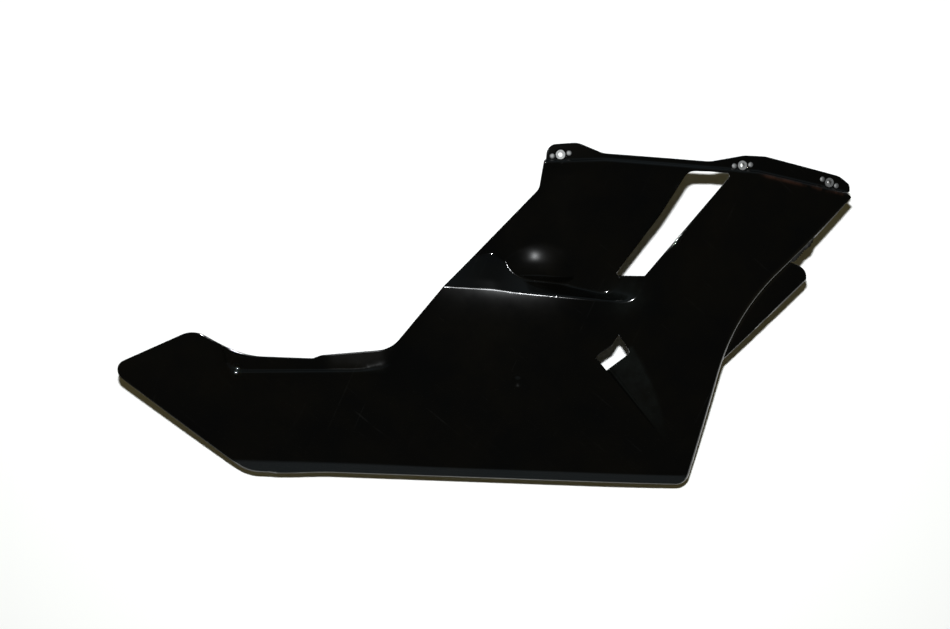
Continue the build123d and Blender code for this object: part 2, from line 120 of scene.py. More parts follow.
def smooth(t):
    t = np.clip(t, 0.0, 1.0)
    return t * t * (3.0 - 2.0 * t)


def crown_depth(z, inset=0.0):
    return CROWN_R - np.sqrt((CROWN_R - inset) ** 2 - (CROWN_Z - z) ** 2)


def bent(depth, x):
    return PLAN_R - np.sqrt((PLAN_R - depth) ** 2 - np.maximum(0.0, x - PLAN_X) ** 2)


SKIN_Y = -float(bent(crown_depth(0.0, JOGGLE), 0.0))


def skin_y(x, z, inset=0.0):
    return SKIN_Y + bent(crown_depth(z, inset), x)


LEDGE_SLOPE = (LEDGE_FRONT[1] - LEDGE_REAR[1]) / (LEDGE_FRONT[0] - LEDGE_REAR[0])
LEDGE_MID = (LEDGE_REAR[1] + LEDGE_FRONT[1]) / 2
FLUSH_Y = SKIN_Y + float(crown_depth(FLUSH_Z))
FLOOR_SLOPE = (SKIN_Y + float(crown_depth(LEDGE_MID)) + RECESS_DEPTH - FLUSH_Y) / (FLUSH_Z - LEDGE_MID)
FLOOR_SLANT = math.hypot(1.0, FLOOR_SLOPE)


def ledge_z(x):
    return LEDGE_REAR[1] + LEDGE_SLOPE * (x - LEDGE_REAR[0])


def roll_depth(x):
    """Depth of the skin's roll at the ridge, fading towards the front."""
    return ROLL_DEPTH * np.exp(-((x - ROLL_X) / ROLL_SPAN) ** 2)


def floor_y(z):
    return FLUSH_Y + FLOOR_SLOPE * (FLUSH_Z - z)


# Directions used by the field
N_FRONT = np.array([math.cos(LEAN), 0.0, -math.sin(LEAN)])
N_WING = np.array([math.sin(WING_ANGLE), 0.0, -math.cos(WING_ANGLE)])
N_FLOOR = np.array([0.0, -1.0, -FLOOR_SLOPE]) / FLOOR_SLANT
N_WALL = -unit(np.cross(RECESS_WALL[1] - RECESS_WALL[0], RECESS_WALL[2] - RECESS_WALL[0]))
if N_WALL[1] > 0:
    N_WALL = -N_WALL
FACET_L = math.hypot(FACET_RUN, FACET_DROP)
CREASE_Y = SKIN_Y + float(crown_depth(CREASE_Z))
DOME_CENTRE = np.array([DOME_CREST[0], floor_y(DOME_CREST[1]) - DOME_PROUD + DOME_HALF[1], DOME_CREST[1]])
DEEP = np.array([RAMP_DEEP[0], float(skin_y(*RAMP_DEEP)) + RAMP_DEPTH, RAMP_DEEP[1]])
SIDE = np.array([RAMP_SIDE[0], float(skin_y(*RAMP_SIDE)), RAMP_SIDE[1]])
TIP = np.array([RAMP_TIP[0], float(skin_y(*RAMP_TIP)), RAMP_TIP[1]])
N_RAMP = unit(np.cross(SIDE - DEEP, TIP - DEEP))
if N_RAMP[1] > 0:
    N_RAMP = -N_RAMP
RAMP_EDGE = unit([TIP[0] - DEEP[0], TIP[2] - DEEP[2]])
RAMP_RIGHT = np.array([-RAMP_EDGE[1], RAMP_EDGE[0]])
RAMP_TOP = unit([SIDE[0] - DEEP[0], SIDE[2] - DEEP[2]])
RAMP_UP = np.array([-RAMP_TOP[1], RAMP_TOP[0]])
TRIM_ALONG = unit(np.subtract(WING_TIP, WING_ROOT))
TRIM_ABOVE = np.array([-TRIM_ALONG[1], TRIM_ALONG[0]])


def wedge(a, b, radius, c):
    """Smaller of two distances, rounded where they meet; c is the cosine between their directions."""
    va, vb = radius - a, radius - b
    corner = np.sqrt(np.maximum(va * va + vb * vb - 2 * va * vb * c, 0.0) / np.maximum(1 - c * c, 1e-6))
    far = np.where(vb - va * c <= 0, va, np.where(va - vb * c <= 0, vb, corner))
    return radius - np.where((va <= 0) & (vb <= 0), np.maximum(va, vb), far)


def ridge(a, b, radius, c):
    """Larger of two distances, rounded in the same way."""
    return -wedge(-a, -b, radius, c)


def crown(p, inset):
    """Distance out of the crowned skin, depth behind its front line, and the skin's direction."""
    ahead = np.maximum(p[:, 0] - PLAN_X, 0.0)
    reach = SKIN_Y + PLAN_R - p[:, 1]
    rho = np.hypot(ahead, reach)
    across = SKIN_Y + CROWN_R - (SKIN_Y + PLAN_R - rho)
    up = p[:, 2] - CROWN_Z
    r = np.hypot(across, up)
    normal = np.stack([across / r * ahead / rho, -across / r * reach / rho, up / r], 1)
    return r - (CROWN_R - inset), SKIN_Y + PLAN_R - rho, normal


def half_plane(p, a, b):
    """Signed distance to the left of the line from a to b in X and Z."""
    d = unit(np.subtract(b, a))
    return (p[:, 2] - a[1]) * d[0] - (p[:, 0] - a[0]) * d[1]


def joggle_lines(p):
    """Distance above the top joggle's line, and inside each line of the rear joggle."""
    top = [half_plane(p, a, b) for a, b in zip(TOP_JOGGLE[:-1], TOP_JOGGLE[1:])]
    rear = [half_plane(p, a, b) for a, b in zip(REAR_JOGGLE[:-1], REAR_JOGGLE[1:])]
    return np.maximum(np.maximum(top[0], top[1]), top[2]), rear


def field(p, inset):
    """Below zero inside the solid form, with its surface moved inwards by the inset."""
    x, y, z = p[:, 0], p[:, 1], p[:, 2]

    # Crowned skin with its roll below the ledge, its dimple and slight waves
    skin, level, normal = crown(p, inset)
    outer = skin - inset
    dent = np.hypot(x - DIMPLE[0], z - DIMPLE[1])
    wave = (WAVE[0] * np.sin(x / WAVE[1] + WAVE[2]) * np.sin(z / WAVE[3] + WAVE[4])
            + WAVE_SLANT[0] * np.sin((x + z) / WAVE_SLANT[1]))
    up_roll = np.clip(z - ledge_z(x) + ROLL_RUN, 0.0, ROLL_RUN + ROLL_OVER)
    rolled = roll_depth(x) * smooth((ledge_z(x) + ROLL_ABOVE - z) / ROLL_FADE)
    skin = skin + rolled * (up_roll / ROLL_RUN) ** 2
    pit = DIMPLE_PIT[0] * np.exp(-(dent / DIMPLE_PIT[1]) ** 2)
    skin = skin + wave + pit - DIMPLE_LIP[0] * np.exp(-((dent - DIMPLE_LIP[1]) / DIMPLE_LIP[2]) ** 2)

    # Front and bottom with their returns, the wing's set-back flange and the bottom facet
    lower = (p - [FOLD_X, 0.0, FOLD_Z]) @ N_FRONT + inset
    beside = (p - [FOLD_X, 0.0, FOLD_Z]) @ N_WING + inset
    front = wedge(lower, beside, FRONT_BLEND + inset, float(N_FRONT @ N_WING))
    limit = np.minimum(lower, beside - WING_REACH)
    bottom = BOTTOM_Z - SAG * smooth((SAG_START - x) / (SAG_START - SAG_END)) + inset - z
    if inset:
        over_trim = (x - WING_ROOT[0]) * TRIM_ABOVE[0] + (z - WING_ROOT[1]) * TRIM_ABOVE[1]
        bare = NO_RETURN * smooth((over_trim + TRIM_RISE) / TRIM_RUN)
        front, limit = front - bare, limit - bare
        bottom = bottom - NO_RETURN * smooth((RETURN_REAR_X - RETURN_RUN - x) / RETURN_RUN)
    front = ridge(front, bottom, CORNER_R - inset, math.sin(LEAN))
    limit = ridge(limit, bottom, CORNER_R - inset, math.sin(LEAN))
    by_wing = np.clip(0.5 + (lower - beside) / WING_FADE, 0.0, 1.0)
    fold_cos = (normal @ N_FRONT) * (1 - by_wing) + (normal @ N_WING) * by_wing
    form = ridge(skin, front, FOLD_R - inset, fold_cos)
    behind = crown(p, WING_STEP + inset)[0] + wave
    flange = ridge(behind, limit, WING_EDGE_R, normal @ N_WING)
    join_r = WING_JOIN_LEAST + (WING_JOIN_R + inset) * smooth(lower / WING_JOIN_RUN)
    joined = wedge(form, flange, join_r, normal @ N_WING)
    form = np.where(behind > limit, joined, np.minimum(form, flange))
    facet = (-(level - CREASE_Y) * FACET_DROP - (z - CREASE_Z) * FACET_RUN) / FACET_L + inset
    form = ridge(form, facet, EDGE_R, np.where(skin > front, FACET_COS_SKIN, FACET_COS_FRONT))

    # Recess: sloping floor, swept ledge and front wall
    in_floor = (floor_y(z) - y) / FLOOR_SLANT + inset
    tilt = SWEEP_LOW + SWEEP_REAR * np.clip((SWEEP_X - x) / SWEEP_REAR_LENGTH, 0.0, 2.0) ** 1.5
    for gain, start, length in SWEEP_TURNS:
        tilt = tilt + gain * smooth((x - start) / length)
    ridge_y = skin_y(x, ledge_z(x)) + roll_depth(x)
    in_ledge = (ridge_y - y) * np.cos(tilt) + (z - ledge_z(x)) * np.sin(tilt) + inset
    n_ledge = np.stack([-LEDGE_SLOPE * np.sin(tilt), -np.cos(tilt), np.sin(tilt)], 1)
    in_wall = (p - RECESS_WALL[0]) @ N_WALL + inset
    in_sides = wedge(in_ledge, in_wall, RECESS_CORNER_R + inset, n_ledge @ N_WALL)
    by_wall = np.clip(0.5 + (in_ledge - in_wall) / WALL_FADE, 0.0, 1.0)
    side_normal = n_ledge * (1 - by_wall[:, None]) + N_WALL * by_wall[:, None]
    recess = wedge(in_floor, in_sides, COVE_R + inset, side_normal @ N_FLOOR)
    by_floor = np.clip(0.5 + (in_sides - in_floor) / FLOOR_FADE, 0.0, 1.0)
    meets = np.sum(normal * side_normal, 1) * (1 - by_floor) + (normal @ N_FLOOR) * by_floor
    tight = np.maximum(smooth((LIP_X - x) / LIP_X_RUN), smooth((ledge_z(x) + LIP_ABOVE - z) / LIP_RUN))
    lip = SHOULDER_R + (RIDGE_R - SHOULDER_R) * tight
    form = ridge(form, recess, np.maximum(lip - inset, 1.0), np.clip(meets, LEAST_COS, MOST_COS))

    # Dome on the recess floor, sheared along it and falling off towards its top
    q = p - DOME_CENTRE
    rise = np.maximum(q[:, 2], 0.0)
    fade = np.exp(-rise**2 / (2 * DOME_FALL**2))
    q[:, 1] += FLOOR_SLOPE * q[:, 2] - DOME_DROP * (1 - fade)
    q_slope = FLOOR_SLOPE - DOME_DROP * fade * rise / DOME_FALL**2
    share = np.stack([q[:, 0], q[:, 1], np.minimum(q[:, 2], 0.0)], 1) / DOME_HALF
    plan = np.abs(share[:, 0]) ** DOME_PLAN + np.abs(share[:, 2]) ** DOME_PLAN
    plan = np.maximum(plan, 1e-9) ** (1 / DOME_PLAN)
    swell = np.maximum(np.hypot(plan, share[:, 1]), 1e-6)
    along = np.sign(share) * (np.abs(share) / plan[:, None]) ** (DOME_PLAN - 1) * plan[:, None]
    along[:, 1] = share[:, 1]
    n_dome = along / swell[:, None] / DOME_HALF
    n_dome[:, 2] += n_dome[:, 1] * q_slope
    steep = np.maximum(np.linalg.norm(n_dome, axis=1), 1e-6)
    n_dome = n_dome / steep[:, None]
    base = side_normal * (1 - by_floor[:, None]) + N_FLOOR * by_floor[:, None]
    soft_x, soft_z = DOME_SOFT_RUN
    spread = DOME_BLEND + DOME_BLEND_SOFT * smooth(
        DOME_SOFT_SHARE + q[:, 0] / soft_x + q[:, 2] / soft_z) * smooth(
        (q[:, 2] + DOME_SOFT_LOW) / DOME_SOFT_LOW_RUN)
    dome_cos = np.clip(np.sum(n_dome * base, 1), LEAST_COS, MOST_COS)
    form = wedge(form, (swell - 1) / steep + inset, spread + inset, dome_cos)

    # Ramp of the scoop inlet
    in_ramp = (p - DEEP) @ N_RAMP + inset
    flat = (x - DEEP[0]) * RAMP_RIGHT[0] + (z - DEEP[2]) * RAMP_RIGHT[1]
    in_side = flat * math.cos(RAMP_DRAFT) + outer * math.sin(RAMP_DRAFT) + inset
    in_top = RAMP_OVERRUN - (x - DEEP[0]) * RAMP_UP[0] - (z - DEEP[2]) * RAMP_UP[1]
    across = normal[:, 0] * RAMP_RIGHT[0] + normal[:, 2] * RAMP_RIGHT[1]
    side_cos = across * math.cos(RAMP_DRAFT) + math.sin(RAMP_DRAFT)
    ramp = np.minimum(wedge(in_ramp, in_side, RAMP_R + inset, RAMP_COS), in_top)
    ramp_cos = np.clip(normal @ N_RAMP, LEAST_COS, MOST_COS)
    form = ridge(form, ramp, RAMP_R, np.where(in_side < in_ramp, side_cos, ramp_cos))

    # Joggled flanges along the top and at the rear
    stepped = crown(p, JOGGLE + inset)[0]
    above, rear = joggle_lines(p)
    tray = wedge(rear[0], rear[1], REAR_JOGGLE_R, TRAY_COS[0])
    tray = wedge(tray, TRAY_SOFT * rear[2], REAR_JOGGLE_R, TRAY_COS[1])
    lean = math.sin(JOGGLE_DRAFT)
    for line in (above, tray):
        flank = line * math.cos(JOGGLE_DRAFT) + outer * math.sin(JOGGLE_DRAFT) + inset
        step = wedge(stepped, flank, JOGGLE_ROOT_R + inset, lean)
        form = ridge(form, step, max(JOGGLE_EDGE_R - inset, JOGGLE_LEAST_R), lean)
    return form


def rounded(points, radii, closed, step):
    """Dense line through the points with its corners rounded."""
    pts = [np.array(q, float) for q in points]
    n = len(pts)
    out = []
    for i, (q, r) in enumerate(zip(pts, radii)):
        if not closed and i in (0, n - 1) or r <= 0:
            out.append(q)
            continue
        a, b = unit(pts[i - 1] - q), unit(pts[(i + 1) % n] - q)
        half = math.acos(max(-1.0, min(1.0, float(a @ b)))) / 2
        cut = r / math.tan(half)
        mid = q + unit(a + b) * (r / math.sin(half))
        s, e = q + a * cut - mid, q + b * cut - mid
        turn = math.pi - 2 * half
        count = max(3, int(math.ceil(turn * r / step)) + 1)
        sign = math.copysign(1.0, s[0] * e[1] - s[1] * e[0])
        for t in np.linspace(0, turn, count):
            ct, st = math.cos(t * sign), math.sin(t * sign)
            out.append(mid + [s[0] * ct - s[1] * st, s[0] * st + s[1] * ct])
    dense = []
    ring = out + [out[0]] if closed else out
    for a, b in zip(ring[:-1], ring[1:]):
        count = max(1, int(math.ceil(np.linalg.norm(b - a) / step)))
        dense += [a + (b - a) * t / count for t in range(count)]
    if not closed:
        dense.append(ring[-1])
    keep = [dense[0]]
    for q in dense[1:]:
        if np.linalg.norm(q - keep[-1]) > 0.25:
            keep.append(q)
    if closed and np.linalg.norm(keep[0] - keep[-1]) < 0.25:
        keep.pop()
    return np.array(keep)


# Curve of the folded edge, along which the sheet turns from the face into the returns
wing_dir = np.array([math.cos(WING_ANGLE), math.sin(WING_ANGLE)])
low_x = FOLD_X + (BOTTOM_Z - FOLD_Z) * math.tan(LEAN)
fold = rounded(
    [np.array([FOLD_X, FOLD_Z]) + wing_dir * 320, (FOLD_X, FOLD_Z), (low_x, BOTTOM_Z), (SAG_START, BOTTOM_Z),
     (SAG_END, BOTTOM_Z - SAG), (-760.0, BOTTOM_Z - SAG)],
    [0, FRONT_BLEND, CORNER_R, 300, 300, 0], False, 2.0)
fold_dir = np.gradient(fold, axis=0)
fold_dir /= np.linalg.norm(fold_dir, axis=1)[:, None]
fold_out = np.stack([-fold_dir[:, 1], fold_dir[:, 0]], 1)
# Rays that lay the sheet on the form: they turn from the face to the returns between NEAR before
# the fold and FAR past it, and lean up near the ledge so that they meet it squarely
NEAR, FAR, PIVOT = 12.0, 25.0, 40.0
LIFT, LIFT_ABOVE, LIFT_BELOW, LIFT_RUN = 0.75, 46, 52, 30.0
LIFT_FRONT_X, LIFT_FRONT_RUN, LIFT_REAR_X, LIFT_REAR_RUN = -60, 40.0, -200.0, 60.0
RAY_LEVEL, RAY_BACK, FLAT_REACH, FOLD_REACH = 12.0, 46.0, 100.0, 90.0
BISECTIONS, UNROLL_STEPS = 26, 45
EDGE_STEP, EDGE_GAP, REAR_END_X = 2.6, 0.6, -518.0


def to_fold(d):
    """Nearest place on the fold curve: its point, its outward direction and the signed distance."""
    foot, out, dist = np.zeros_like(d), np.zeros_like(d), np.zeros(len(d))
    seg = fold[1:] - fold[:-1]
    length = np.sum(seg * seg, 1)
    for i in range(0, len(d), 2000):
        q = d[i:i + 2000]
        t = np.clip(np.einsum("nkd,kd->nk", q[:, None] - fold[None, :-1], seg) / length, 0, 1)
        at = fold[None, :-1] + t[..., None] * seg[None]
        k = np.argmin(np.sum((q[:, None] - at) ** 2, 2), 1)
        row = np.arange(len(q))
        w = t[row, k][:, None]
        foot[i:i + 2000] = at[row, k]
        n = fold_out[k] * (1 - w) + fold_out[k + 1] * w
        n /= np.linalg.norm(n, axis=1)[:, None]
        out[i:i + 2000] = n
        dist[i:i + 2000] = np.sum((q - at[row, k]) * n, 1)
    return foot, out, dist


def rays(d):
    """Start points inside the form and outward directions for points of the unrolled sheet."""
    foot, out, s = to_fold(d)
    flat = s <= -NEAR
    root = np.where(flat[:, None], d, foot - out * NEAR)
    base = skin_y(root[:, 0], root[:, 1])
    turn = np.clip((s + NEAR) / (NEAR + FAR), 0, 1) * math.pi / 2
    turn[flat] = 0.0
    x, z, ledge = d[:, 0], d[:, 1], ledge_z(d[:, 0])
    lift = (LIFT * smooth((ledge + LIFT_ABOVE - z) / LIFT_RUN) * smooth((z - ledge + LIFT_BELOW) / LIFT_RUN)
            * smooth((LIFT_FRONT_X - x) / LIFT_FRONT_RUN) * smooth((x - LIFT_REAR_X) / LIFT_REAR_RUN))
    direction = np.stack([np.sin(turn) * out[:, 0], -np.cos(turn), np.sin(turn) * out[:, 1]], 1)
    direction[flat] = np.stack([np.zeros_like(lift), -np.cos(lift), np.sin(lift)], 1)[flat]
    start = np.stack([root[:, 0], base + PIVOT + np.maximum(s - FAR, 0.0), root[:, 1]], 1)
    mid = np.stack([d[:, 0], base + RAY_LEVEL, d[:, 1]], 1)
    start[flat] = mid[flat] - direction[flat] * (RAY_BACK / np.maximum(np.cos(lift), 0.5))[flat][:, None]
    reach = np.where(flat, FLAT_REACH, FOLD_REACH)
    return start, direction, reach


def hit(d, inset):
    """Where the ray of each point of the sheet leaves the form."""
    start, direction, reach = rays(d)
    low, high = np.zeros(len(d)), reach.copy()
    for _ in range(BISECTIONS):
        half = (low + high) / 2
        inside = field(start + direction * half[:, None], inset) < 0
        low, high = np.where(inside, half, low), np.where(inside, high, half)
    return start + direction * ((low + high) / 2)[:, None]


def unroll(xz, guess=None, gain=0.6):
    """Points of the unrolled sheet whose outer surface lies at the given X and Z."""
    d = np.array(xz if guess is None else guess, float)
    for _ in range(UNROLL_STEPS):
        got = hit(d, 0.0)[:, [0, 2]]
        d = d + gain * (xz - got)
    return d


# Boundary of the sheet
nose_x = OUTLINE[0][0][0] + (OUTLINE[0][0][1] - BOTTOM_Z + SAG) / NOSE_SLOPE
bare = rounded(
    [(REAR_END_X, BOTTOM_Z - SAG + EDGE_GAP), (nose_x, BOTTOM_Z - SAG + EDGE_GAP)]
    + [q for q, r in OUTLINE] + [WING_ROOT],
    [0, NOSE_CORNER_R] + [r for q, r in OUTLINE] + [0], False, EDGE_STEP)
wing_out = N_WING[[0, 2]]
tip_low = FOLD_Z + ((WING_TIP[0] - FOLD_X) * wing_out[0] - WING_REACH + EDGE_GAP) / -wing_out[1]
trim = rounded([WING_ROOT, WING_TIP, (WING_TIP[0], tip_low)], [0, WING_TIP_R, 0], False, EDGE_STEP)[1:]
aside = (trim - [FOLD_X, FOLD_Z]) @ wing_out
wing_foot = trim - aside[:, None] * wing_out
sight = np.arctan2(aside + NEAR, PIVOT - WING_STEP)
guess = wing_foot + wing_out * ((NEAR + FAR) * sight / (math.pi / 2) - NEAR)[:, None]
gain = (0.65 * np.cos(sight) ** 2 * (NEAR + FAR) / (PIVOT - WING_STEP) / (math.pi / 2))[:, None]
bare_d, trim_d = unroll(bare), unroll(trim, guess, gain)


def back_edge():
    """Line of the returns' rear edge in the unrolled sheet."""
    root = fold - fold_out * NEAR
    reach = FAR + BACK_Y - skin_y(root[:, 0], root[:, 1]) - PIVOT
    line = fold + fold_out * reach[:, None]
    ahead = (line - trim_d[-1]) @ fold_dir[0]
    keep = (ahead > 1.5) & (fold[:, 0] > RETURN_REAR_X + 12)
    return line[keep]


back_d = back_edge()
step_in = np.linspace(0, 1, 9)[1:-1, None]
tip_run = (back_d[0] - trim_d[-1]) @ wing_out
tip_line = trim_d[-1] + np.arange(2.5, tip_run, 2.5)[:, None] * wing_out
end_arc = back_d[-1] + (bare_d[0] - back_d[-1]) * np.concatenate([step_in, smooth(step_in * 1.45)], 1)
outer_loop = np.concatenate([bare_d, trim_d, tip_line, back_d, end_arc])


def even(loop, step):
    """The loop without points nearer than the step to the one before."""
    ring = np.concatenate([loop, loop[:1]])
    run = np.concatenate([[0], np.cumsum(np.linalg.norm(np.diff(ring, axis=0), axis=1))])
    keep, last = [], -1e9
    for i in range(len(loop)):
        if run[i] - last >= step:
            keep.append(i)
            last = run[i]
    return loop[keep]


outer_loop = even(outer_loop, 0.6)
vent_d = unroll(rounded([q for q, r in VENT], [r for q, r in VENT], True, 2.2))
inlet_d = unroll(rounded(INLET, [1.5] * 5, True, 1.5))
hub_d = []
for origin, axis, along in FLANGES:
    across = np.cross(axis, along)
    turn = np.linspace(0, 2 * math.pi, 33)[:-1]
    ring = np.array(origin) + HUB_HOLE_R * (np.outer(np.cos(turn), along) + np.outer(np.sin(turn), across))
    hub_d.append(unroll(ring[:, [0, 2]]))
loops = [outer_loop, vent_d, inlet_d] + hub_d


def inside(d, loop):
    """Which points lie inside the loop."""
    a, b = loop, np.roll(loop, -1, 0)
    result = np.zeros(len(d), bool)
    for i in range(0, len(d), 4000):
        q = d[i:i + 4000]
        over = (a[None, :, 1] > q[:, None, 1]) != (b[None, :, 1] > q[:, None, 1])
        run = np.where(b[:, 1] == a[:, 1], 1e-9, b[:, 1] - a[:, 1])
        cross = (b[:, 0] - a[:, 0]) * (q[:, None, 1] - a[:, 1]) / run + a[:, 0]
        result[i:i + 4000] = np.sum(over & (q[:, None, 0] < cross), 1) % 2 == 1
    return result


def in_sheet(d):
    """Which points lie inside the outer edge and outside every opening."""
    ok = inside(d, outer_loop)
    for loop in loops[1:]:
        ok &= ~inside(d, loop)
    return ok


edge_points = np.concatenate([np.concatenate([q, (q + np.roll(q, -1, 0)) / 2]) for q in loops])


def clearance(d):
    """Distance from each point to the nearest edge of the sheet."""
    best = np.zeros(len(d))
    for i in range(0, len(d), 2000):
        best[i:i + 2000] = np.sqrt(np.min(np.sum((d[i:i + 2000, None] - edge_points[None]) ** 2, 2), 1))
    return best


def lattice(x0, x1, z0, z1, step):
    """Points in a triangular grid."""
    xs = np.arange(x0, x1, step)
    zs = np.arange(z0, z1, step * 0.866)
    gx, gz = np.meshgrid(xs, zs)
    gx = gx + (np.arange(len(zs)) % 2 * step / 2)[:, None]
    return np.stack([gx.ravel(), gz.ravel()], 1)


# Points of the sheet in order of rank: places, least distance apart, distance from an edge
groups = []
for loop in loops:
    run = np.roll(loop, -1, 0) - np.roll(loop, 1, 0)
    side = np.stack([-run[:, 1], run[:, 0]], 1)
    side /= np.maximum(np.linalg.norm(side, axis=1), 1e-9)[:, None]
    for reach in (1.5, 3.4):
        for sign in (-1, 1):
            groups.append((loop + side * reach * sign, 1.1, reach * 0.9))


def rows(line, offsets, least):
    """Rows of points beside a line."""
    d = np.gradient(line, axis=0)
    d /= np.linalg.norm(d, axis=1)[:, None]
    n = np.stack([-d[:, 1], d[:, 0]], 1)
    for reach in offsets:
        groups.append((line + n * reach, least, 1.2))


STEP_ROWS = (-4.2, -2.8, -1.8, -0.9, 0.0, 0.9, 1.8, 2.7, 3.6, 5.0)
RAMP_ROWS = (-2.6, -1.5, -0.8, -0.2, 0.4, 1.0, 1.6, 2.2, 2.9, 3.7, 5.0)
rows(rounded(TOP_JOGGLE, [0, 60, 60, 0], False, 2.6), STEP_ROWS, 0.7)
rows(rounded(REAR_JOGGLE, [0, 20, 20, 0], False, 2.4), STEP_ROWS, 0.7)
rows(rounded([RAMP_DEEP, RAMP_TIP], [0, 0], False, 2.0), RAMP_ROWS, 0.5)
fold_rows = np.concatenate([
    np.arange(-18, -12, 1.5), np.arange(-12, -1, 0.6), np.arange(-1, 14, 1.2), np.arange(14, 26, 2.0),
    np.arange(27, 92, 4.0),
])
run = np.concatenate([[0], np.cumsum(np.linalg.norm(np.diff(fold, axis=0), axis=1))])
spots = np.arange(0, run[-1], 3.0)
column = np.stack([np.interp(spots, run, fold[:, 0]), np.interp(spots, run, fold[:, 1])], 1)
column_out = np.stack([np.interp(spots, run, fold_out[:, 0]), np.interp(spots, run, fold_out[:, 1])], 1)
column_out /= np.linalg.norm(column_out, axis=1)[:, None]
for s in fold_rows:
    groups.append((column + column_out * s, 0.45, 1.2))
ledge_line = np.stack([np.arange(-322, -128, 2.6), ledge_z(np.arange(-322, -128, 2.6))], 1)
for s in np.concatenate([np.arange(-17, 5, 0.7), np.arange(-46, -17, 1.8), np.arange(5, 42, 1.8)]):
    groups.append((ledge_line + [0.0, s], 0.6, 1.2))
LATTICES = [
    (DIMPLE[0] - 12, DIMPLE[0] + 12, DIMPLE[1] - 12, DIMPLE[1] + 12, 1.2, 0.9, 1.2),
    (-160, -88, -190, -112, 2.0, 1.4, 1.2),
    (-266, -150, -142, -114, 1.1, 0.8, 1.2),
    (-275, -150, -150, -66, 1.7, 1.2, 1.4),
    (-150, -40, -320, -190, 3.2, 2.0, 1.6),
    (-700, 140, -420, 30, 5.2, 3.2, 2.4),
]
for x0, x1, z0, z1, step, least, from_edge in LATTICES:
    groups.append((lattice(x0, x1, z0, z1, step), least, from_edge))


def gather():
    """Points in order of rank, each kept only where no earlier point is too near."""
    cell = 1.0
    taken = {}
    kept = []
    for points, least, from_edge in groups:
        ok = in_sheet(points)
        points = points[ok]
        points = points[clearance(points) >= from_edge]
        span = int(math.ceil(least / cell))
        for q in points:
            i, j = int(q[0] // cell), int(q[1] // cell)
            clash = False
            for a in range(i - span, i + span + 1):
                for b in range(j - span, j + span + 1):
                    for r in taken.get((a, b), ()):
                        if (r[0] - q[0]) ** 2 + (r[1] - q[1]) ** 2 < least * least:
                            clash = True
            if not clash:
                taken.setdefault((i, j), []).append(q)
                kept.append(q)
    return np.array(kept)


# Triangles of the sheet, then its outer and inner side
interior = gather()
points, edges = [], []
for loop in loops:
    first = len(points)
    points += [tuple(q) for q in loop]
    edges += [(first + i, first + (i + 1) % len(loop)) for i in range(len(loop))]
points += [tuple(q) for q in interior]
flat_v, _, flat_f = geometry.delaunay_2d_cdt([Vector(q) for q in points], edges, [], 0, 1e-6)[:3]
sheet = np.array([(v.x, v.y) for v in flat_v])
tri = np.array([f for f in flat_f if len(f) == 3])
tri = tri[in_sheet(sheet[tri].mean(1))]
used = np.unique(tri)
index = -np.ones(len(sheet), int)
index[used] = np.arange(len(used))
sheet, tri = sheet[used], index[tri]
a, b, c = sheet[tri[:, 0]], sheet[tri[:, 1]], sheet[tri[:, 2]]
turned = (b[:, 0] - a[:, 0]) * (c[:, 1] - a[:, 1]) - (b[:, 1] - a[:, 1]) * (c[:, 0] - a[:, 0]) < 0
tri[turned] = tri[turned][:, ::-1]
front_side, back_side = hit(sheet, 0.0), hit(sheet, WALL)

# The inner side is held near the outer one; ahead of HELD_X only what lies too far off is moved
DEEPEST, HELD_X, STRAYED = 7.0, 20.0, 2.6 * WALL
through = back_side - front_side
deep = np.maximum(np.linalg.norm(through, axis=1), 1e-9)
held = front_side + through * np.minimum(1.0, DEEPEST / deep)[:, None]
slope = np.stack([field(front_side + e, 0.0) - field(front_side - e, 0.0) for e in 0.05 * np.eye(3)], 1)
slope /= np.maximum(np.linalg.norm(slope, axis=1), 1e-9)[:, None]
strayed = (deep > STRAYED) & (front_side[:, 0] > HELD_X)
back_side = np.where((front_side[:, 0] < HELD_X)[:, None], held, back_side)
back_side[strayed] = (front_side - WALL * slope)[strayed]
sides = {(int(f[i]), int(f[(i + 1) % 3])): True for f in tri for i in range(3)}
border = [e for e in sides if (e[1], e[0]) not in sides]
n = len(sheet)
verts = np.clip(np.concatenate([front_side, back_side]) * MM, np.array(cad_box[0]), np.array(cad_box[1]))
faces = [tuple(map(int, f)) for f in tri] + [tuple(int(i) + n for i in f[::-1]) for f in tri]
faces += [(j, i, i + n, j + n) for i, j in border]
mesh = bpy.data.meshes.new("shell_skin")
mesh.from_pydata(verts.tolist(), [], faces)
mesh.validate()
mesh.update()
shell = bpy.data.objects.new("shell_skin", mesh)
bpy.context.scene.collection.objects.link(shell)
mesh.polygons.foreach_set("use_smooth", [True] * len(mesh.polygons))
rim = {(min(e), max(e)) for e in border} | {(min(e) + n, max(e) + n) for e in border}
weight = mesh.attributes.new("bevel_weight_edge", "FLOAT", "EDGE")
weight.data.foreach_set("value", [1.0 if tuple(sorted(e.vertices)) in rim else 0.0 for e in mesh.edges])
# The clamp leaves the bevel no width, so the rim is sharp; the weld closes what is left of it
RIM_ROUND, RIM_WELD = 0.0007, 0.00003
soft = shell.modifiers.new("rim", "BEVEL")
soft.limit_method, soft.width, soft.segments, soft.use_clamp_overlap = "WEIGHT", RIM_ROUND, 2, True
close = shell.modifiers.new("close", "WELD")
close.merge_threshold = RIM_WELD
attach(shell, "root")
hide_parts("belly_pan_shell")


# Wear of the surface and a painted sheen, kept as point attributes that the material reads
def bell(x, middle, width):
    return np.exp(-((x - middle) / width) ** 2)


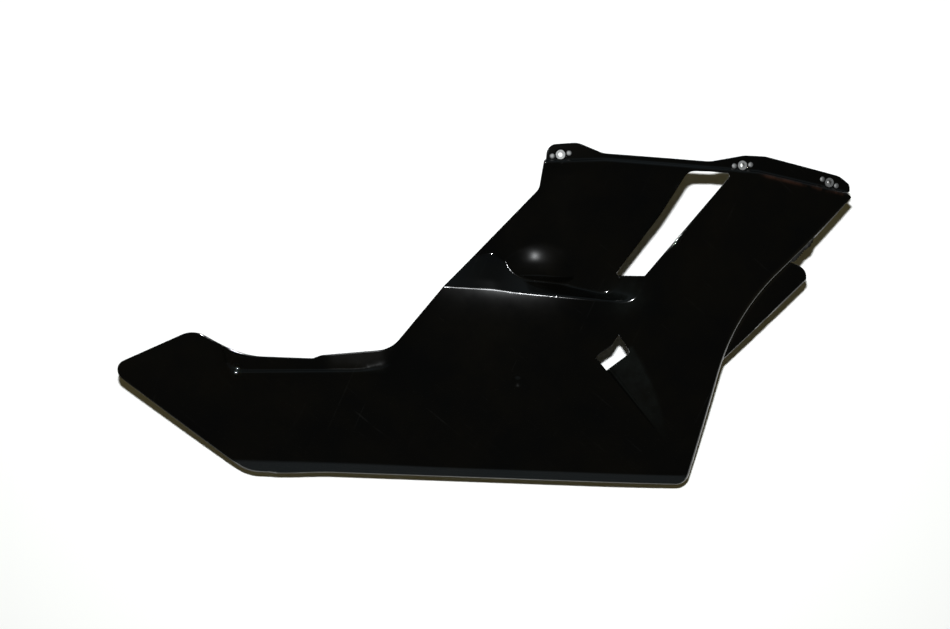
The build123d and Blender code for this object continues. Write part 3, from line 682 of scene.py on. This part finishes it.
def marks(p, inner):
    """Share of each kind of wear, and of the painted sheen in the recess corner, at the points of one side;
    the fades are in millimetres.
    """
    x, z = p[:, 0], p[:, 2]
    above, rear = joggle_lines(p)
    tray = np.minimum(np.minimum(rear[0], rear[1]), rear[2])
    run = np.stack([x - DEEP[0], z - DEEP[2]], 1)
    in_ramp = smooth(1.6 - np.abs((p - DEEP) @ N_RAMP) / 1.2) * smooth(run @ RAMP_RIGHT / 3.0)
    in_ramp *= smooth((RAMP_OVERRUN - run @ RAMP_UP) / 3.0) * smooth(1.25 - run @ RAMP_EDGE / 95.0)
    ledge = ledge_z(x)
    # Painted sheen: lighter grey in the recess's front corner and along the ledge beside it stands in for the
    # highlight where the surface turns; it also makes these spots rougher
    corner = 0.8 * bell(x, -122.0, 20.0) * bell(z, -148.0, 18.0)
    corner = corner + 0.4 * bell(x, -152.0, 26.0) * bell(z, ledge + 5.0, 4.0)
    beside_fold = to_fold(np.stack([x, z], 1))[2]
    front = smooth((x + 20.0) / 30.0) * smooth((z + 240.0) / 40.0)
    cap = bell(x, -222.0, 26.0) * smooth((z + 122.0) / 8.0)
    cap = cap + 2.0 * smooth((-252.0 - x) / 8.0) * smooth((z - ledge - 8.0) / 8.0)
    glossy = np.maximum(smooth((above + 16.0) / 8.0), 0.9 * bell(tray, 0.0, 7.0))
    glossy = np.maximum(glossy, np.maximum(0.75 * smooth((x + 205.0) / 50.0), 0.45 * np.minimum(cap, 2.0)))
    patch = smooth((x + 452.0) / 14.0) * smooth((-376.0 - x) / 14.0) * smooth(tray / 3.0)
    ledge_dust = 0.25 * bell(tray, 1.0, 2.0) * smooth((-372.0 - x) / 20.0) * smooth((x + 560.0) / 20.0)
    return {
        # The first share is real dust in the ramp, along the rear joggle and on the inner side, plus the
        # painted sheen of the recess corner
        "dust_and_sheen": np.clip(in_ramp + corner + ledge_dust + 0.12 * inner, 0.0, 1.0),
        "worn": bell(beside_fold, -0.5, 2.6) * front * (1 - inner),
        "scuff": 0.5 * patch,
        "clean": glossy * (1 - inner),
        "stain": bell(above, -1.0, 1.8) * smooth((x - 14.0) / 20.0) * (1 - inner),
        "inner": np.full(len(p), float(inner)),
    }


outer_marks, inner_marks = marks(front_side, 0), marks(back_side, 1)
for name in outer_marks:
    layer = mesh.attributes.new(name, "FLOAT", "POINT")
    layer.data.foreach_set("value", np.concatenate([outer_marks[name], inner_marks[name]]).astype(np.float32))


class Nodes:
    """Short way to add and join the nodes of one material."""

    def __init__(self, name):
        self.material = bpy.data.materials.new(name)
        self.material.use_nodes = True
        self.tree = self.material.node_tree
        self.shader = self.tree.nodes["Principled BSDF"]

    def join(self, value, socket):
        if hasattr(value, "node"):
            self.tree.links.new(value, socket)
        elif isinstance(value, tuple):
            socket.default_value = (*value, 1.0) if socket.type == "RGBA" else value
        else:
            socket.default_value = value

    def attribute(self, name):
        n = self.tree.nodes.new("ShaderNodeAttribute")
        n.attribute_name = name
        return n.outputs["Fac"]

    def place(self, stretch=(1.0, 1.0, 1.0), turn=(0.0, 0.0, 0.0)):
        n = self.tree.nodes.new("ShaderNodeMapping")
        n.vector_type = "TEXTURE"
        self.join(self.tree.nodes.new("ShaderNodeTexCoord").outputs["Object"], n.inputs["Vector"])
        n.inputs["Scale"].default_value = stretch
        n.inputs["Rotation"].default_value = turn
        return n.outputs["Vector"]

    def noise(self, vector, scale, detail=3.0, rough=0.55):
        n = self.tree.nodes.new("ShaderNodeTexNoise")
        self.join(vector, n.inputs["Vector"])
        for key, value in (("Scale", scale), ("Detail", detail), ("Roughness", rough)):
            n.inputs[key].default_value = value
        return n.outputs["Fac"]

    def span(self, value, low, high, to_low=0.0, to_high=1.0):
        n = self.tree.nodes.new("ShaderNodeMapRange")
        keys = ("Value", "From Min", "From Max", "To Min", "To Max")
        for key, v in zip(keys, (value, low, high, to_low, to_high)):
            self.join(v, n.inputs[key])
        return n.outputs["Result"]

    def math(self, kind, a, b):
        n = self.tree.nodes.new("ShaderNodeMath")
        n.operation = kind
        n.use_clamp = kind in ("ADD", "SUBTRACT")
        self.join(a, n.inputs[0])
        self.join(b, n.inputs[1])
        return n.outputs[0]

    def mix(self, factor, a, b):
        n = self.tree.nodes.new("ShaderNodeMix")
        n.data_type = "RGBA"
        self.join(factor, n.inputs["Factor"])
        self.join(a, n.inputs[6])
        self.join(b, n.inputs[7])
        return n.outputs[2]

    def bump(self, height, strength, distance):
        n = self.tree.nodes.new("ShaderNodeBump")
        n.inputs["Strength"].default_value = strength
        n.inputs["Distance"].default_value = distance
        self.join(height, n.inputs["Height"])
        return n.outputs["Normal"]


BLACK_COOL, BLACK_WARM = (0.0008, 0.00085, 0.0008), (0.0016, 0.0014, 0.0009)
SCUFFED, BARE_BACK, SCRATCHED = (0.006, 0.0055, 0.004), (0.010, 0.0095, 0.0085), (0.10, 0.10, 0.095)
# The last colour on the next line serves real dust and also a painted sheen in the recess corner
WORN, STAINED, DUST_AND_SHEEN_GREY = (0.011, 0.0097, 0.0058), (0.018, 0.008, 0.005), (0.0058, 0.0072, 0.0066)
ZINC_LIGHT, ZINC_DARK, ZINC_GRIME = (0.22, 0.22, 0.217), (0.15, 0.15, 0.147), (0.13, 0.115, 0.085)
CLEAN_ROUGHNESS = 0.03


def shell_material():
    m = Nodes("gloss_black")
    here = m.place()
    cloud, grain = m.noise(here, 14.0, 5.0, 0.6), m.noise(here, 420.0, 3.0)
    blotch = m.noise(here, 62.0, 4.0, 0.62)
    # Share of lighter grey: real dust together with the painted sheen in the recess corner
    dust_and_sheen_share = m.math("MULTIPLY", m.attribute("dust_and_sheen"), m.span(blotch, 0.28, 0.66, 0.25, 1.0))
    film = m.math("MULTIPLY", m.span(cloud, 0.5, 0.75), m.span(grain, 0.45, 0.75, 0.0, 0.035))
    dust_and_sheen_share = m.math("ADD", dust_and_sheen_share, film)
    hair = m.noise(m.place((0.11, 0.11, 0.0016), (0.0, math.radians(38.0), 0.0)), 1.0, 2.0, 0.4)
    hair_b = m.noise(m.place((0.0019, 0.11, 0.14), (0.0, math.radians(23.0), 0.0)), 1.0, 2.0, 0.4)
    scratch = m.math("MAXIMUM", m.span(hair, 0.70, 0.74), m.span(hair_b, 0.72, 0.76))
    scratch = m.math("MULTIPLY", scratch, m.span(blotch, 0.42, 0.62))
    worn = m.math("MULTIPLY", m.attribute("worn"), m.span(blotch, 0.3, 0.6, 0.45, 1.0))
    stain = m.math("MULTIPLY", m.attribute("stain"), m.span(blotch, 0.36, 0.6))
    scuff, inner, clean = m.attribute("scuff"), m.attribute("inner"), m.attribute("clean")
    colour = m.mix(m.span(cloud, 0.35, 0.68), BLACK_COOL, BLACK_WARM)
    colour = m.mix(m.math("MULTIPLY", scuff, 0.35), colour, SCUFFED)
    colour = m.mix(m.math("MULTIPLY", inner, m.span(blotch, 0.3, 0.7, 0.5, 1.0)), colour, BARE_BACK)
    colour = m.mix(m.math("MULTIPLY", scratch, 0.03), colour, SCRATCHED)
    colour = m.mix(worn, colour, WORN)
    colour = m.mix(stain, colour, STAINED)
    # Painted sheen in the recess corner and real dust, mixed in as one lighter grey
    colour = m.mix(m.math("MULTIPLY", dust_and_sheen_share, 0.5), colour, DUST_AND_SHEEN_GREY)
    m.join(colour, m.shader.inputs["Base Color"])
    rough = m.span(cloud, 0.3, 0.7, 0.095, 0.14)
    rough = m.math("ADD", rough, m.math("MULTIPLY", scuff, m.span(blotch, 0.3, 0.7, 0.24, 0.34)))
    rough = m.math("ADD", rough, m.math("MULTIPLY", dust_and_sheen_share, 0.14))
    rough = m.math("ADD", rough, m.math("MULTIPLY", inner, 0.3))
    rough = m.math("ADD", rough, m.math("MULTIPLY", worn, 0.3))
    m.join(m.span(clean, 0.0, 1.0, rough, CLEAN_ROUGHNESS), m.shader.inputs["Roughness"])
    relief = m.math("ADD", m.math("MULTIPLY", grain, 0.25), m.math("MULTIPLY", dust_and_sheen_share, 0.3))
    m.join(m.bump(relief, 0.02, 0.0004), m.shader.inputs["Normal"])
    return m.material


def steel_material():
    m = Nodes("zinc")
    here = m.place()
    grain, cloud = m.noise(here, 1900.0, 3.0), m.noise(here, 340.0, 4.0)
    brushed = m.noise(m.place((0.0033, 0.0033, 0.0002)), 1.0, 2.0)
    colour = m.mix(m.span(cloud, 0.3, 0.7), ZINC_LIGHT, ZINC_DARK)
    colour = m.mix(m.span(grain, 0.56, 0.72, 0.0, 0.6), colour, ZINC_GRIME)
    m.join(colour, m.shader.inputs["Base Color"])
    m.join(m.span(brushed, 0.3, 0.7, 0.56, 0.72), m.shader.inputs["Roughness"])
    m.shader.inputs["Metallic"].default_value = 1.0
    m.join(m.bump(m.math("ADD", grain, brushed), 0.12, 0.0002), m.shader.inputs["Normal"])
    return m.material


mesh.materials.append(shell_material())
steel = steel_material()
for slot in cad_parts["receptacles"].material_slots:
    slot.material = steel

# Rivets: domed heads outside the flange, set tails behind the receptacle plates
RIVET_PITCH, HEAD_R, HEAD_H, TAIL_R, TAIL_H, PLATE_BACK, SEAT = 18.4, 2.9, 1.3, 2.3, 1.6, 4.36, 0.06


def lathe(profile, base, axis, along, verts, faces, turns=28):
    """Add the closed form that the profile of radius and height sweeps round the axis."""
    across = np.cross(axis, along)
    rings = []
    for r, h in profile:
        if r == 0:
            rings.append([len(verts)])
            verts.append(base + axis * h)
        else:
            rings.append(list(range(len(verts), len(verts) + turns)))
            for i in range(turns):
                t = 2 * math.pi * i / turns
                verts.append(base + axis * h + r * (along * math.cos(t) + across * math.sin(t)))
    for lo, hi in zip(rings[:-1], rings[1:]):
        for i in range(turns):
            j = (i + 1) % turns
            if len(lo) == 1:
                faces.append((lo[0], hi[i], hi[j]))
            elif len(hi) == 1:
                faces.append((lo[j], lo[i], hi[0]))
            else:
                faces.append((lo[j], lo[i], hi[i], hi[j]))


HEAD_RIM = 0.3
quarter = np.linspace(0, math.pi / 2, 9)[:-1]
dome_arc = [(HEAD_R * math.cos(t), HEAD_RIM + (HEAD_H - HEAD_RIM) * math.sin(t)) for t in quarter]
head = [(0, HEAD_H)] + dome_arc[::-1] + [(HEAD_R - 0.15, 0.05), (HEAD_R - 0.4, 0.0), (0, 0.0)]
tail = [(0, 0.0), (TAIL_R - 0.2, 0.0), (TAIL_R, -0.2), (TAIL_R, -0.8), (TAIL_R - 0.5, -1.4),
        (1.0, -TAIL_H), (0.7, -1.1), (0, -1.1)]
rivet_v, rivet_f = [], []
for origin, axis, along in FLANGES:
    origin, axis, along = np.array(origin), unit(axis), unit(along)
    for side in (-0.5, 0.5):
        spot = origin + along * RIVET_PITCH * side
        lathe(head, spot + axis * SEAT, axis, along, rivet_v, rivet_f)
        lathe(tail, spot - axis * (PLATE_BACK + SEAT), axis, along, rivet_v, rivet_f)
rivet_mesh = bpy.data.meshes.new("rivets")
rivet_mesh.from_pydata((np.array(rivet_v) * MM).tolist(), [], rivet_f)
rivet_mesh.update()
rivet_mesh.polygons.foreach_set("use_smooth", [True] * len(rivet_mesh.polygons))
rivets = bpy.data.objects.new("rivets", rivet_mesh)
bpy.context.scene.collection.objects.link(rivets)
rivet_mesh.materials.append(steel)
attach(rivets, "root")


# Stage, light and camera
def pale_material(name, colour, one_sided):
    n = Nodes(name)
    m = n.material
    n.join(colour, n.shader.inputs["Base Color"])
    n.shader.inputs["Roughness"].default_value = 0.9
    if one_sided:
        t = n.tree
        mix = t.nodes.new("ShaderNodeMixShader")
        clear = t.nodes.new("ShaderNodeBsdfTransparent")
        geo = t.nodes.new("ShaderNodeNewGeometry")
        t.links.new(geo.outputs["Backfacing"], mix.inputs[0])
        t.links.new(t.nodes["Principled BSDF"].outputs[0], mix.inputs[1])
        t.links.new(clear.outputs[0], mix.inputs[2])
        t.links.new(mix.outputs[0], t.nodes["Material Output"].inputs["Surface"])
    return m


def plate(name, size, place, turn, look):
    bpy.ops.mesh.primitive_plane_add(size=1.0, location=place, rotation=turn)
    o = bpy.context.object
    o.name = name
    o.scale = (size[0], size[1], 1.0)
    o.data.materials.append(look)
    return o


pale_floor = pale_material("pale_floor", (0.84, 0.84, 0.83), False)
floor = plate("floor", (5.0, 3.0), (-0.28, 2.1, -0.8), (0, 0, 0), pale_floor)
pale_back = pale_material("pale_back", (0.86, 0.855, 0.84), True)
backdrop = plate("backdrop", (1.3, 1.1), (-0.28, 0.13, -0.2), (math.pi / 2, 0, 0), pale_back)


def area(name, place, at, size, power, colour):
    light = bpy.data.lights.new(name, "AREA")
    light.shape = "RECTANGLE"
    light.size, light.size_y = size
    light.energy = power
    light.color = colour
    o = bpy.data.objects.new(name, light)
    o.location = place
    o.rotation_euler = (Vector(at) - Vector(place)).to_track_quat("-Z", "Y").to_euler()
    bpy.context.scene.collection.objects.link(o)


area("flash", (-0.31, -2.0, 0.045), (-0.28, 0.0, -0.17), (0.06, 0.04), 62.0, (0.95, 0.98, 1.0))
area("back_left", (-1.3, 1.7, 0.9), (-0.3, 0.05, -0.2), (1.2, 1.0), 26.0, (1.0, 0.98, 0.95))
area("back_right", (0.9, 1.5, 0.1), (-0.3, 0.05, -0.2), (0.8, 1.2), 14.0, (0.92, 0.96, 1.0))

# World: white to the camera, a dim room in reflections and a weak warm fill for diffuse light
world = bpy.data.worlds.new("room")
bpy.context.scene.world = world
world.use_nodes = True
tree = world.node_tree
shown = tree.nodes["Background"]
shown.inputs["Color"].default_value = (1.0, 1.0, 1.0, 1.0)
shown.inputs["Strength"].default_value = 1.0
room = tree.nodes.new("ShaderNodeBackground")
coord = tree.nodes.new("ShaderNodeTexCoord")
split = tree.nodes.new("ShaderNodeSeparateXYZ")
ramp = tree.nodes.new("ShaderNodeValToRGB")
ramp.color_ramp.elements[0].position, ramp.color_ramp.elements[0].color = 0.0, (0.17, 0.20, 0.215, 1.0)
ramp.color_ramp.elements[1].position, ramp.color_ramp.elements[1].color = 1.0, (0.12, 0.15, 0.17, 1.0)
for at, colour in ((0.10, (0.030, 0.030, 0.028, 1.0)), (0.55, (0.022, 0.022, 0.021, 1.0))):
    ramp.color_ramp.elements.new(at).color = colour
half = tree.nodes.new("ShaderNodeMapRange")
half.inputs["From Min"].default_value = -1.0
path = tree.nodes.new("ShaderNodeLightPath")
pick = tree.nodes.new("ShaderNodeMixShader")
fill = tree.nodes.new("ShaderNodeBackground")
fill.inputs["Color"].default_value = (0.055, 0.045, 0.016, 1.0)
soft_pick = tree.nodes.new("ShaderNodeMixShader")
tree.links.new(coord.outputs["Generated"], split.inputs[0])
tree.links.new(split.outputs["Z"], half.inputs["Value"])
tree.links.new(half.outputs[0], ramp.inputs[0])
tree.links.new(ramp.outputs[0], room.inputs["Color"])
tree.links.new(path.outputs["Is Camera Ray"], pick.inputs[0])
tree.links.new(path.outputs["Is Diffuse Ray"], soft_pick.inputs[0])
tree.links.new(room.outputs[0], soft_pick.inputs[1])
tree.links.new(fill.outputs[0], soft_pick.inputs[2])
tree.links.new(soft_pick.outputs[0], pick.inputs[1])
tree.links.new(shown.outputs[0], pick.inputs[2])
tree.links.new(pick.outputs[0], tree.nodes["World Output"].inputs["Surface"])
bpy.context.scene.view_settings.view_transform = "Standard"

# Camera that matches the photo
SENSOR, LENS, CAMERA_TILT, CAMERA_AT = 36.0, 69.53, math.radians(2.1), (-0.28531, -2.0, -0.1732)
cam = bpy.data.cameras.new("camera")
cam.sensor_width = SENSOR
cam.lens = LENS
view = bpy.data.objects.new("camera", cam)
right = Vector((math.cos(CAMERA_TILT), 0, math.sin(CAMERA_TILT)))
up = Vector((-math.sin(CAMERA_TILT), 0, math.cos(CAMERA_TILT)))
back = right.cross(up)
view.matrix_world = Matrix.Translation(CAMERA_AT) @ Matrix((right, up, back)).transposed().to_4x4()
bpy.context.scene.collection.objects.link(view)
bpy.context.scene.camera = view
